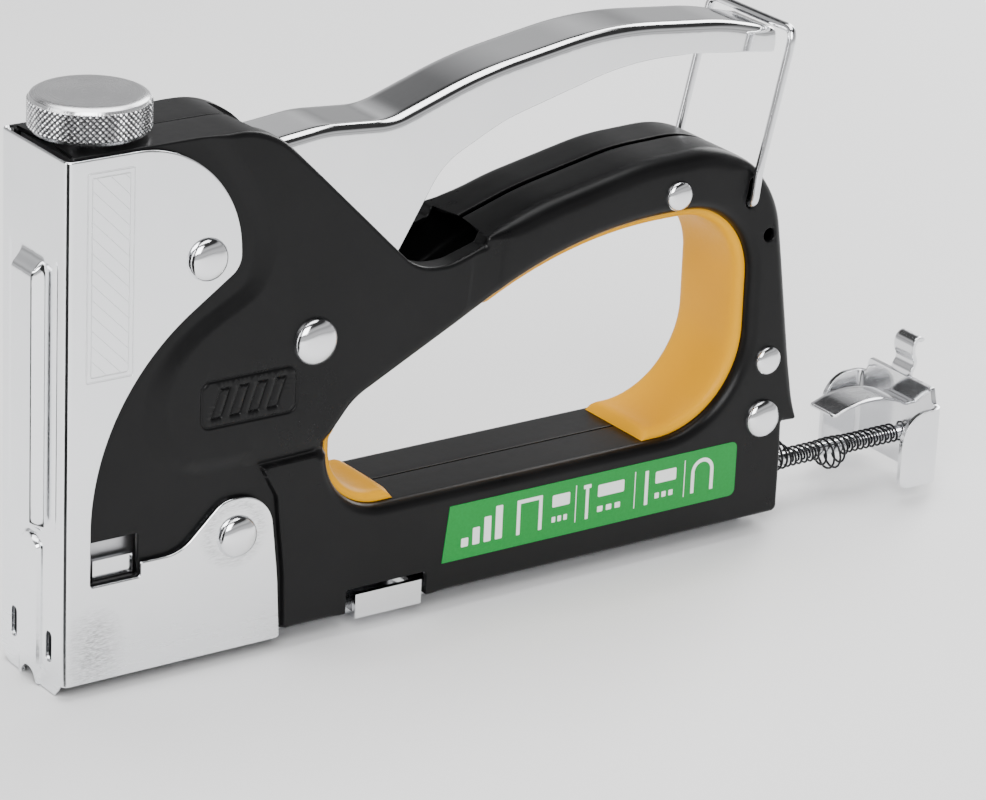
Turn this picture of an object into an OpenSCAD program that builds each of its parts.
// Heavy-duty hand staple gun: pressed steel body in two half shells, chrome nose cover, squeeze lever
// with wire lock, spring-driven plunger and blade, and a rear-loading magazine with its follower unit.
// Frame: +X runs back from the nose along the magazine, +Z is up, Y = 0 is the seam between the shells.
// The origin is the middle of the staple exit, level with the nose tip. Units are millimetres.

/* [Body] */
// Length from the nose face to the rear overhang of the shells
body_l = 185; // [184:0.5:188]
// Width over the chrome nose cover and the raised faces of the shells
body_w = 26.4; // [26:0.2:28]
// Height of the shell top above the nose tip
body_h = 114.3; // [113.5:0.1:115]
// Thickness of the pressed steel sheet
sheet = 1.2; // [1:0.1:1.3]
// Height of the hand opening
hand_h = 52; // [48:1:54]

/* [Nose] */
// Distance from the blade slot to the front face of the nose
nose_front = 3; // [2.8:0.1:3.2]
// How far the front rib stands out
rib_proud = 2.7; // [2:0.1:3]
// How far the nose tip reaches below the edge of the side plates
tip_drop = 2.8; // [2:0.1:3]

/* [Lever] */
// Width over the sides of the lever
lever_w = 15.6; // [14:0.2:16]
// Diameter of the lever pivot rivet
pivot_d = 8; // [7:0.5:9]

/* [Knob and spring] */
// Diameter of the power knob
knob_d = 24.8; // [22:0.2:26]
// Height of the power knob
knob_h = 7.7; // [6:0.1:9]
// Outer diameter of the main spring
spring_d = 12.2; // [11:0.1:12.6]

/* [Magazine] */
// Inside width of the magazine channel
magazine_w = 11.2; // [10.8:0.1:11.4]
// Length of the pusher block
pusher_l = 46; // [40:1:50]
// Diameter of the guide rod
rod_d = 3; // [2.5:0.1:3.2]
// How far the follower unit stands drawn out of the magazine
drawn_out = 44; // [0:1:60]

/* [Wire lock] */
// Diameter of the lock wire
wire_d = 1.9; // [1.6:0.1:2.2]

/* [Hidden] */
$fn = 48;

half_w = body_w / 2;
fit = 0.05;
plate_in = half_w - sheet;
low_out = plate_in - fit;
rear_x = body_l - nose_front;
base_rear_x = rear_x - 3.6;
base_bottom = tip_drop + 1.6;
front_face = -nose_front;

// Places of the rivets, [x, z]
pivot_at = [54.8, 67.2];
cover_rivet_at = [[29, 89.1], [37.3, 27.9]];
bow_rivet_at = [145.6, 83.6];
column_rivet_at = [172.7, 41.3];
base_rivet_at = [172.2, 27.8];
wire_at = [165, 78.9];

// Power unit
knob_x = 9.5;
knob_z = body_h + 1.1;
plunger_z = 60;
plunger_h = 18;
nut_z = 101;
hook_z = pivot_at[1];

// Follower unit, drawn out at rest
rod_z = 10;
cap_x = base_rear_x + 0.3 + drawn_out;
block_x = 1.6 + drawn_out;
block_top = 15.4;
block_bottom = 2.9;

// ---- Outlines: corner lists [x, z, corner radius], running anticlockwise ----

function unit(v) = v / norm(v);
function turn(a, b) = acos(max(-1, min(1, a * b)));
// Points of one rounded corner between the edges from p to q and from q to s
function corner(p, q, s) =
    let (a = unit([q[0] - p[0], q[1] - p[1]]), b = unit([s[0] - q[0], s[1] - q[1]]),
        bend = turn(a, b), r = max(q[2], 0.02), t = r * tan(bend / 2),
        side = sign(a[0] * b[1] - a[1] * b[0]), n = [-a[1], a[0]] * side,
        start = [q[0], q[1]] - a * t, c = start + n * r,
        steps = max(1, ceil(bend / 12)))
    bend < 0.5 ? [[q[0], q[1]]]
        : [for (i = [0:steps]) let (w = side * bend * i / steps, d = -n * r)
            c + [d[0] * cos(w) - d[1] * sin(w), d[0] * sin(w) + d[1] * cos(w)]];
function rounded(p) = let (m = len(p))
    [for (i = [0:m - 1]) each corner(p[(i + m - 1) % m], p[i], p[(i + 1) % m])];
// The same outline moved inwards by d (outwards when d is negative), with its radii kept concentric
function inset(p, d) = let (m = len(p))
    [for (i = [0:m - 1])
        let (o = p[(i + m - 1) % m], q = p[i], s = p[(i + 1) % m],
            a = unit([q[0] - o[0], q[1] - o[1]]), b = unit([s[0] - q[0], s[1] - q[1]]),
            na = [-a[1], a[0]], nb = [-b[1], b[0]],
            side = sign(a[0] * b[1] - a[1] * b[0]),
            v = [q[0], q[1]] + (na + nb) * d / (1 + na * nb))
        [v[0], v[1], max(0.02, q[2] - side * d)]];

shell_line = [[-1.2, base_bottom, 0.5], [base_rear_x, base_bottom, 1.5], [base_rear_x, 25.5, 0.4],
    [rear_x, 25.7, 0.6], [rear_x - 10.4, 92.8, 24], [137, 92, 60], [112, 87, 80], [96, 82, 1.5],
    [96, 78.2, 2], [80, 78.2, 14], [43.5, body_h, 18], [-1.2, body_h, 0.8]];

hand_bottom = 27.3;
hand_line = [[59.3, hand_bottom, 14], [167.3, hand_bottom, 22], [166.9, hand_bottom + hand_h, 18],
    [121.1, hand_bottom + hand_h, 100], [65.6, 52, 14], [59.3, 44.4, 4]];

// Sunk front region that the chrome cover sits in, with the groove that runs back to the hand opening
sunk_line = [[-6, -1, 0.1], [49, -1, 0.1], [48.2, 17, 60], [46.2, 34.5, 9], [41, 42.6, 1.5], [64, 42.6, 0.1],
    [64, 46.4, 0.1], [20.7, 46.4, 11.5], [20.7, 67.1, 14], [49.5, 83.8, 13.5], [32.5, 118, 0.1],
    [-6, 118, 0.1]];

cover_line = [[front_face, tip_drop, 0.3], [48.2, tip_drop, 0.8], [47.4, 17, 60], [45.2, 36.3, 8.3],
    [33.9, 36.3, 6], [24, 26.9, 9], [14.7, 26.9, 0.4], [14.7, 23.8, 0.6], [3.2, 23.8, 0.6],
    [3.2, 62.9, 52], [37.2, 86.2, 5], [36.5, body_h - 0.3, 24.5], [front_face, body_h - 0.3, 0.3]];

lever_line = [[45, 57.7, 9], [64.5, 57.7, 9], [79.5, 83, 20], [88.5, 98, 16], [103.5, 105.2, 40],
    [135, 113.2, 70], [152, 112.6, 60], [174, 109.9, 1.5], [174.4, 115, 2], [160, 118.6, 60],
    [130, 121.6, 90], [98, 116.4, 100], [76, 109, 18], [60, 110.3, 30], [46, 108.8, 2.5]];

// ---- Shared shapes ----

// Extrudes a side-view outline from y0 to y1
module side_slab(points, y0, y1) {
    translate([0, y1, 0]) rotate([90, 0, 0]) linear_extrude(y1 - y0) polygon(points);
}
// The same on both sides of the seam
module side_slabs(points, y0, y1) {
    for (s = [0, 1]) mirror([0, s, 0]) side_slab(points, y0, y1);
}
// Round bar along Y at [x, z]
module cross_bar(at, r, y0, y1) {
    translate([at[0], y1, at[1]]) rotate([90, 0, 0]) cylinder(r = r, h = y1 - y0);
}
// Block between two corners
module block(a, b) {
    translate(a) cube(b - a);
}
// Blocks mirrored about the seam; a and b are given for the +Y side
module blocks(a, b) {
    for (s = [0, 1]) mirror([0, s, 0]) block(a, b);
}
// Tube along Y
module cross_tube(at, r_out, r_in, y0, y1) {
    difference() {
        cross_bar(at, r_out, y0, y1);
        cross_bar(at, r_in, y0 - 1, y1 + 1);
    }
}
// Domed rivet with a head on both sides; face is where the heads sit
module rivet(at, head_r, shank_r, face) {
    dome = head_r * 0.52;
    ball = (head_r * head_r + dome * dome) / (2 * dome);
    cross_bar(at, shank_r, -face, face);
    for (s = [0, 1]) mirror([0, s, 0])
        translate([at[0], face, at[1]]) rotate([-90, 0, 0]) intersection() {
            cylinder(r = head_r, h = dome);
            translate([0, 0, dome - ball]) sphere(r = ball, $fn = 64);
        }
}

// ---- Housing ----

// One half shell, built on the +Y side
module half_shell() {
    hand_out = rounded(hand_line);
    hand_wall = rounded(inset(hand_line, -sheet));
    inside = rounded(inset(shell_line, sheet));
    sunk_wall = rounded(inset(sunk_line, -sheet));
    difference() {
        union() {
            side_slab(rounded(shell_line), fit, low_out);
            difference() {
                side_slab(rounded(shell_line), low_out - 1, half_w);
                side_slab(rounded(sunk_line), low_out, half_w + 1);
            }
        }
        // Hollow of the shell, deeper behind the raised faces
        difference() {
            side_slab(inside, -1, low_out - sheet);
            side_slab(hand_wall, -2, half_w);
        }
        difference() {
            side_slab(inside, low_out - sheet - 1, half_w - sheet);
            side_slab(hand_wall, -2, half_w + 1);
            side_slab(sunk_wall, -2, half_w + 1);
        }
        side_slab(hand_out, -2, half_w + 2);
        // Open front, lever slot, screw hole, magazine floor and rear mouth
        block([-3, -1, -1], [2.2, low_out - sheet, body_h - sheet]);
        block([40.5, -1, 62], [98, lever_w / 2 + 1, body_h + 2]);
        translate([knob_x, 0, body_h - 4]) cylinder(r = 6.5, h = 8);
        block([0, -1, 0], [base_rear_x - 2, 7, base_bottom + 4]);
        block([base_rear_x - 4, -1, 0], [base_rear_x + 1, 7.6, 24.6]);
        block([base_rear_x - 3, -1, 20], [rear_x + 2, 5, 36]);
        // Window over the magazine bracket and notch for the channel lug
        block([3.2, low_out - sheet - 2, 23.8], [14.7, half_w + 1, 32.8]);
        block([64.5, low_out - sheet - 2, 0], [84.5, half_w + 1, base_bottom + 5.4]);
        // Slot for the lock wire and the small assembly hole
        block([wire_at[0] - 1.3, half_w - 0.8, wire_at[1]], [wire_at[0] + 1.3, half_w + 1, 95]);
        cross_bar(wire_at, 1.3, -1, half_w + 1);
        cross_bar([171, 70.6], 1.5, -1, half_w + 1);
        cross_bar(pivot_at, pivot_d / 2 + fit, -1, half_w + 1);
        for (p = cover_rivet_at) cross_bar(p, 2.55, -1, half_w + 1);
        cross_bar(bow_rivet_at, 1.85, -1, half_w + 1);
        cross_bar(column_rivet_at, 1.85, -1, half_w + 1);
        cross_bar(base_rivet_at, 2.45, -1, half_w + 1);
    }
}
module near_shell() {
    color("#2b2b2d") mirror([0, 1, 0]) half_shell();
}
module far_shell() {
    color("#2b2b2d") half_shell();
}

// Chrome cover: one sheet folded round the front, with a rib, two slotted wings and side plates
module nose_cover() {
    wing_y = half_w - 2.9;
    strip_y = 3.6;
    rib_foot = 5.2;
    rib_face = 3.5;
    color("#d9dadc") difference() {
        union() {
            side_slabs(rounded(cover_line), plate_in, half_w);
            block([front_face, -half_w, tip_drop], [front_face + sheet, half_w, body_h - 0.3]);
            // Nose tip wings, chamfered at their outer corners
            translate([front_face + sheet, 0, 0]) rotate([90, 0, -90]) linear_extrude(sheet)
                polygon([[-half_w, tip_drop + 1], [-half_w, 2.2], [-wing_y + 0.7, 0], [-strip_y, 0],
                    [-2.9, 1.2], [-1.6, 3], [1.6, 3], [2.9, 1.2], [strip_y, 0], [wing_y - 0.7, 0],
                    [half_w, 2.2], [half_w, tip_drop + 1]]);
            // Raised strip below the rib
            block([front_face - 0.8, -strip_y, 3], [front_face + 0.1, strip_y, 32.5]);
            // Rib with sloping flanks and ends
            hull() {
                block([front_face, -rib_foot, 33.8], [front_face + 0.1, rib_foot, 92.3]);
                block([front_face - rib_proud, -rib_face, 35.3], [front_face, rib_face, 88.6]);
            }
        }
        // Hollow behind the rib
        block([front_face - rib_proud + sheet, -rib_face + 1, 37], [front_face + sheet + 1,
            rib_face - 1, 86]);
        // Slots in the wings
        for (s = [-1, 1]) block([front_face - 1, s * 8.1 - 1.1, 6.8], [front_face + 2, s * 8.1 + 1.1, 13.2]);
        // Notches at the top fold and rivet holes
        for (p = cover_rivet_at) cross_bar(p, 2.55, -half_w - 1, half_w + 1);
    }
}

// Hardened guide that keeps the blade in its slot
module driver_guide() {
    guide_y = 9;
    slot_y = 5.45;
    color("#8d8f93") difference() {
        block([front_face + sheet + fit, -guide_y, 1], [2, guide_y, 62]);
        block([-0.7, -slot_y, 0], [0.7, slot_y, 63]);
        block([front_face, -slot_y, 0], [0, slot_y, 63]);
        // Mouth that the staples come through
        block([0, -magazine_w / 2, 0], [3, magazine_w / 2, 18.2]);
    }
}

// Two steel rails that the plunger runs between
module plunger_guide() {
    color("#85878b") for (s = [0, 1]) mirror([0, s, 0]) union() {
        block([2.3, 6.3, 55.1], [17.5, 7.5, 99]);
        block([16.3, 6.3, 58], [17.5, low_out - sheet - 0.1, 80]);
    }
}

// Bracket under the shell top that carries the screw
module top_bracket() {
    color("#85878b") difference() {
        union() {
            block([0.2, -plate_in + sheet + 0.1, 111.4], [24, plate_in - sheet - 0.1, 113]);
            for (s = [0, 1]) mirror([0, s, 0])
                block([0.2, 9.2, 104], [24, plate_in - sheet - 0.1, 111.5]);
        }
        translate([knob_x, 0, 110]) cylinder(r = 4.1, h = 5);
    }
}

// Rubber block that stops the plunger, and the plate under it
module impact_buffer() {
    color("#3a3a3a") block([3, -6, 55], [16, 6, plunger_z - 0.05]);
}
module buffer_bracket() {
    color("#85878b") union() {
        block([2.4, -10.6, 53.4], [17.6, 10.6, 54.95]);
        blocks([2.4, 7.3, 20], [17.6, 8.5, 53.5]);
    }
}

// Channel the staples lie in, with a bead under its floor and a lug on each side
module magazine_channel() {
    in_y = magazine_w / 2;
    out_y = in_y + sheet;
    color("#c9cacd") difference() {
        union() {
            block([2.1, -out_y, 1.5], [base_rear_x - 1, out_y, 18]);
            block([20, -4.5, 0], [base_rear_x - 3, 4.5, 1.6]);
            // Feet that tie the channel to the shells
            for (s = [0, 1]) mirror([0, s, 0]) {
                block([66.5, in_y + 0.5, tip_drop + 0.35], [83, half_w + 0.4, tip_drop + 1.55]);
                block([66.5, half_w - 0.8, tip_drop + 0.35], [83, half_w + 0.4, tip_drop + 5.8]);
            }
        }
        block([0, -in_y, 2.7], [base_rear_x + 1, in_y, 20]);
        block([22, -3.3, 1.2], [base_rear_x - 5, 3.3, 3]);
    }
}

// Bracket across the channel; its bright ears show through the windows of the cover
module magazine_bracket() {
    ear_y = low_out - sheet - 0.05;
    color("#d2d3d6") union() {
        block([5, -ear_y, 18.05], [14.2, ear_y, 19.5]);
        blocks([5, ear_y - sheet, 18.05], [14.2, ear_y, 28.2]);
    }
}

// Moulded liner inside the hand opening
module grip_band(y, region) {
    thick = 2.3;
    difference() {
        intersection() {
            side_slab(rounded(inset(hand_line, fit)), -y, y);
            side_slab(region, -y - 1, y + 1);
        }
        side_slab(rounded(inset(hand_line, thick)), -y - 2, y + 2);
    }
}
module grip_insert() {
    color("#f5b800") grip_band(10.6, [[96, 62], [150, 62], [150, 40], [136, 20], [190, 20], [190, 90],
        [96, 90]]);
}
module front_grip_insert() {
    color("#f5b800") grip_band(10.6, [[50, 20], [80, 20], [73, 36], [66, 47.5], [50, 47.5]]);
}

module pivot_rivet() {
    color("#d9dadc") rivet(pivot_at, 5.1, pivot_d / 2, half_w);
}
module cover_rivets() {
    color("#d9dadc") for (p = cover_rivet_at) rivet(p, 4.55, 2.5, half_w);
}
module body_rivets() {
    color("#d9dadc") {
        rivet(bow_rivet_at, 3.3, 1.8, half_w);
        rivet(column_rivet_at, 3.3, 1.8, half_w);
        rivet(base_rivet_at, 4.4, 2.4, half_w);
    }
}
// Distance tubes that hold the shells apart at the rivets
module spacer_tubes() {
    color("#85878b") {
        for (p = cover_rivet_at) cross_tube(p, 4.2, 2.55, -low_out + sheet + fit, low_out - sheet - fit);
        for (p = [bow_rivet_at, column_rivet_at]) cross_tube(p, 2.9, 1.85, -plate_in + fit, plate_in - fit);
        cross_tube(base_rivet_at, 3.9, 2.45, -plate_in + fit, plate_in - fit);
    }
}

// Printed label on the raised base of each shell
module side_label() {
    label_line = [[88.2, 10.9, 0.1], [165.8, 10.9, 1.5], [165.8, 23.6, 1.5], [89.8, 23.6, 0.1]];
    side_slab(rounded(label_line), half_w, half_w + 0.08);
}
module near_label() {
    color("#0fa551") mirror([0, 1, 0]) side_label();
}
module far_label() {
    color("#0fa551") side_label();
}

// ---- Lever ----

// Bright sheet lever: two side plates joined along their top edge
module lever() {
    y = lever_w / 2;
    core = inset(lever_line, sheet);
    color("#dcdde0") difference() {
        side_slab(rounded(lever_line), -y, y);
        side_slab(rounded(core), -y + sheet, y - sheet);
        // Open underside and front
        side_slab([[30, 50], [62, 50], [77.5, 80], [87, 96.5], [103, 104.2], [135, 112], [152, 111.4],
            [172, 109], [172, 100], [190, 90], [190, 40], [30, 40]], -y + sheet, y - sheet);
        block([40, -y + sheet, 50], [58, y - sheet, 107.4]);
        block([60, -y + sheet, 55], [64, y - sheet, 100]);
        cross_bar(pivot_at, 5.55, -y - 1, y + 1);
        for (p = lever_rivet_at) cross_bar(p, 1.55, -y - 1, y + 1);
    }
}
lever_rivet_at = [[59.5, 76], [66, 70]];

// Hook that lifts the plunger when the lever is squeezed
module lift_hook() {
    hook_line = [[13.6, hook_z - 1.9, 1.2], [34, hook_z - 4, 20], [46, 58.6, 8], [64, 59.5, 8],
        [70.5, 72, 4], [62, 80, 4], [46, 77, 12], [34, hook_z + 5, 20], [13.6, hook_z + 1.9, 1.2]];
    color("#6f7175") difference() {
        side_slab(rounded(hook_line), -2.4, 2.4);
        cross_bar(pivot_at, 5.55, -3, 3);
        for (p = lever_rivet_at) cross_bar(p, 1.55, -3, 3);
    }
}
module lever_bushing() {
    color("#b08d4f") cross_tube(pivot_at, 5.5, pivot_d / 2 + 0.04, -lever_w / 2, lever_w / 2);
}
// Washers that centre the lever between the shells
module pivot_washers() {
    color("#b9babd") for (s = [0, 1]) mirror([0, s, 0])
        cross_tube(pivot_at, 7, pivot_d / 2 + fit, lever_w / 2 + 0.3, plate_in - fit);
}
module lever_rivets() {
    color("#b9babd") for (p = lever_rivet_at) {
        cross_bar(p, 1.5, -8.2, 8.2);
        for (s = [0, 1]) mirror([0, s, 0]) cross_tube(p, 2.6, 1.4, 2.5, lever_w / 2 - sheet - 0.1);
    }
}

// ---- Plunger and blade ----

module plunger() {
    color("#7d7f83") difference() {
        union() {
            block([0.65, -5.2, plunger_z + 5], [3, 5.2, plunger_z + 14]);
            block([3, -6, plunger_z], [16, 6, plunger_z + plunger_h]);
            // Boss that carries the blade, and the stub that centres the spring
            translate([1, 0, plunger_z + 9.5]) rotate([0, -90, 0]) cylinder(r = 2.4, h = 2.1);
            translate([knob_x, 0, plunger_z + plunger_h - 1]) cylinder(r = 3.6, h = 4);
        }
        // Window for the lift hook
        block([9, -2.8, hook_z - 4], [17, 2.8, hook_z + 2.4]);
    }
}
module driver_blade() {
    color("#9c9ea2") difference() {
        block([-0.6, -5.3, 8], [0.6, 5.3, plunger_z + 13.5]);
        translate([-2, 0, plunger_z + 9.5]) rotate([0, 90, 0]) cylinder(r = 2.45, h = 4);
    }
}

// ---- Power adjustment ----

module power_knob() {
    edge = 1.1;
    color("#dcdde0") translate([knob_x, 0, knob_z]) difference() {
        union() {
            cylinder(r = knob_d / 2, h = knob_h - edge, $fn = 96);
            translate([0, 0, knob_h - edge]) intersection() {
                cylinder(r = knob_d / 2, h = edge, $fn = 96);
                rotate_extrude($fn = 96) polygon([[0, 0], [knob_d / 2, 0], [knob_d / 2 - edge * 0.8, edge],
                    [0, edge]]);
            }
        }
        translate([0, 0, -1]) cylinder(r = 4, h = 4.5);
    }
}
module adjusting_screw() {
    color("#a9abaf") translate([knob_x, 0, 92]) cylinder(r = 4, h = knob_z + 3.4 - 92);
}
module knob_washer() {
    color("#b9babd") translate([knob_x, 0, body_h - 1.25]) difference() {
        cylinder(r = 6.2, h = 2.2);
        translate([0, 0, -1]) cylinder(r = 4.05, h = 5);
    }
}
module retaining_clip() {
    color("#55575b") translate([knob_x, 0, 109.9]) difference() {
        cylinder(r = 6.6, h = 1.3);
        translate([0, 0, -1]) cylinder(r = 4, h = 4);
    }
}
module tension_nut() {
    color("#8d8f93") translate([knob_x, 0, nut_z]) difference() {
        union() {
            block([-6.6, -6, 0], [6.6, 6, 3]);
            translate([0, 0, 2.9]) cylinder(r = 5.6, h = 2);
        }
        translate([0, 0, -1]) cylinder(r = 4.06, h = 8);
    }
}
module main_spring() {
    color("#4d4f53") translate([knob_x, 0, plunger_z + plunger_h + 0.05]) difference() {
        cylinder(r = spring_d / 2, h = nut_z - plunger_z - plunger_h - 0.1);
        translate([0, 0, -1]) cylinder(r = 4.3, h = 40);
    }
}

// ---- Wire lock ----

leg_y = half_w + 0.3 + wire_d / 2;
// Centre line of one side: pivot pin, leg with a slight knee, and half of the cross bar
wire_line = [[wire_at[0], 8.8, wire_at[1]], [wire_at[0], leg_y, wire_at[1]], [166, leg_y, 87],
    [172.5, leg_y, 115.2], [172.8, leg_y - 1.6, 116.8]];
module lock_wire() {
    r = wire_d / 2;
    last = wire_line[4];
    color("#c2c3c6") union() {
        for (s = [0, 1]) mirror([0, s, 0]) for (i = [0:3]) {
            d = wire_line[i + 1] - wire_line[i];
            translate(wire_line[i]) rotate([0, acos(d[2] / norm(d)), atan2(d[1], d[0])])
                cylinder(r = r, h = norm(d));
            translate(wire_line[i + 1]) sphere(r = r + 0.03);
        }
        cross_bar([last[0], last[2]], r, -last[1], last[1]);
    }
}

// ---- Follower unit ----

cap_in = half_w + 0.45;
cap_bottom = tip_drop + 0.2;
cap_top = 24.4;
module end_cap() {
    flange_line = [[cap_x - 10.5, cap_bottom, 2.5], [cap_x + 0.1, cap_bottom, 0.1],
        [cap_x + 0.1, cap_top - 3.6, 0.1], [cap_x - 10.5, cap_top - 3.6, 7]];
    color("#d9dadc") difference() {
        union() {
            block([cap_x, -cap_in - sheet, cap_bottom], [cap_x + sheet, cap_in + sheet, cap_top]);
            side_slabs(rounded(flange_line), cap_in, cap_in + sheet);
        }
        translate([cap_x - 1, 0, rod_z]) rotate([0, 90, 0]) cylinder(r = rod_d / 2 + 0.01, h = 4);
    }
}
module guide_rod() {
    color("#c9cacd") translate([block_x + 1.6, 0, rod_z]) rotate([0, 90, 0])
        cylinder(r = rod_d / 2, h = cap_x + sheet - block_x - 1.6);
}
module rod_rivet() {
    color("#d9dadc") translate([cap_x + sheet, 0, rod_z]) rotate([0, 90, 0]) intersection() {
        cylinder(r = 3, h = 1.1);
        translate([0, 0, -3.5]) sphere(r = 4.6);
    }
}
module rod_tip_washer() {
    color("#b9babd") translate([block_x + 2.6, 0, rod_z]) rotate([0, 90, 0]) difference() {
        cylinder(r = 2.2, h = 1);
        translate([0, 0, -1]) cylinder(r = rod_d / 2, h = 3);
    }
}
// Bowed strip that presses the unit against the roof of the housing
leaf_bow = 26;
module leaf_spring() {
    leaf_y = 4.6;
    color("#a5a7ab") union() {
        translate([cap_x - 13, 0, 21.6 - leaf_bow]) rotate([90, 0, 0]) translate([0, 0, -leaf_y])
            linear_extrude(2 * leaf_y) polygon([
                for (w = [64:4:112]) leaf_bow * [cos(w), sin(w)],
                for (w = [112:-4:64]) (leaf_bow - 0.6) * [cos(w), sin(w)]]);
        block([cap_x - 1.9, -leaf_y, 18.4], [cap_x - 0.02, leaf_y, 19]);
    }
}
module follower_spring() {
    color("#303134") translate([block_x + pusher_l + 0.1, 0, rod_z]) rotate([0, 90, 0]) difference() {
        cylinder(r = 2.4, h = cap_x - block_x - pusher_l - 0.2);
        translate([0, 0, -1]) cylinder(r = 1.7, h = 200);
    }
}
// Outer channel of the pusher, open below, with two windows and a tail
module pusher_block() {
    y = 5;
    color("#d9dadc") difference() {
        union() {
            block([block_x, -y, block_bottom], [block_x + pusher_l, y, block_top]);
            block([block_x + pusher_l - 5, -1.6, block_top - 0.1], [block_x + pusher_l, 1.6,
                block_top + 0.7]);
        }
        block([block_x - 1, -y + 0.9, block_bottom - 1], [block_x + pusher_l - 0.9, y - 0.9,
            block_top - 0.9]);
        block([block_x + 11.5, -2.6, block_top - 2], [block_x + 19.5, 2.6, block_top + 2]);
        block([block_x + 26.5, -2.6, block_top - 2], [block_x + 36, 2.6, block_top + 2]);
        translate([block_x + pusher_l - 2, 0, rod_z]) rotate([0, 90, 0])
            cylinder(r = rod_d / 2 + 0.08, h = 4);
    }
    // Dimples that grip the inner channel
    color("#d9dadc") for (x = [8, 38], s = [0, 1]) mirror([0, s, 0])
        cross_bar([block_x + x, 9], 1.6, 3.4, y - 0.5);
}
// Inner channel that slides on the rod and presses on the staples
module pusher_core() {
    y = 3.4;
    color("#b9babd") difference() {
        block([block_x + 0.4, -y, block_bottom + 0.2], [block_x + pusher_l - 1, y, block_top - 2.2]);
        block([block_x - 1, -y + 0.9, block_bottom - 1], [block_x + pusher_l, y - 0.9,
            block_top - 3.1]);
    }
}
// Bent spring tab that snaps into the rear slot of the shells
module latch_tab() {
    y = 3.3;
    foot = cap_top + 0.1;
    color("#c9cacd") side_slab([[cap_x, foot], [cap_x + sheet, foot], [cap_x + sheet, foot + 1],
        [cap_x + 2.4, foot + 2.6], [cap_x + 2.4, foot + 4], [cap_x + 1.4, foot + 5.6],
        [cap_x + 1.8, foot + 7.4], [cap_x + 4, foot + 8.4], [cap_x + 3.6, foot + 9.3],
        [cap_x + 1, foot + 8.1], [cap_x + 0.4, foot + 5.4], [cap_x + 1.4, foot + 3.8],
        [cap_x + 1.4, foot + 3], [cap_x, foot + 1.4]], -y, y);
}

near_shell();
far_shell();
nose_cover();
driver_guide();
plunger_guide();
top_bracket();
impact_buffer();
buffer_bracket();
magazine_channel();
magazine_bracket();
grip_insert();
front_grip_insert();
pivot_rivet();
cover_rivets();
body_rivets();
spacer_tubes();
near_label();
far_label();
pivot_washers();
lever();
lift_hook();
lever_bushing();
lever_rivets();
plunger();
driver_blade();
power_knob();
adjusting_screw();
retaining_clip();
knob_washer();
tension_nut();
main_spring();
lock_wire();
end_cap();
guide_rod();
rod_rivet();
leaf_spring();
follower_spring();
rod_tip_washer();
pusher_block();
pusher_core();
latch_tab();
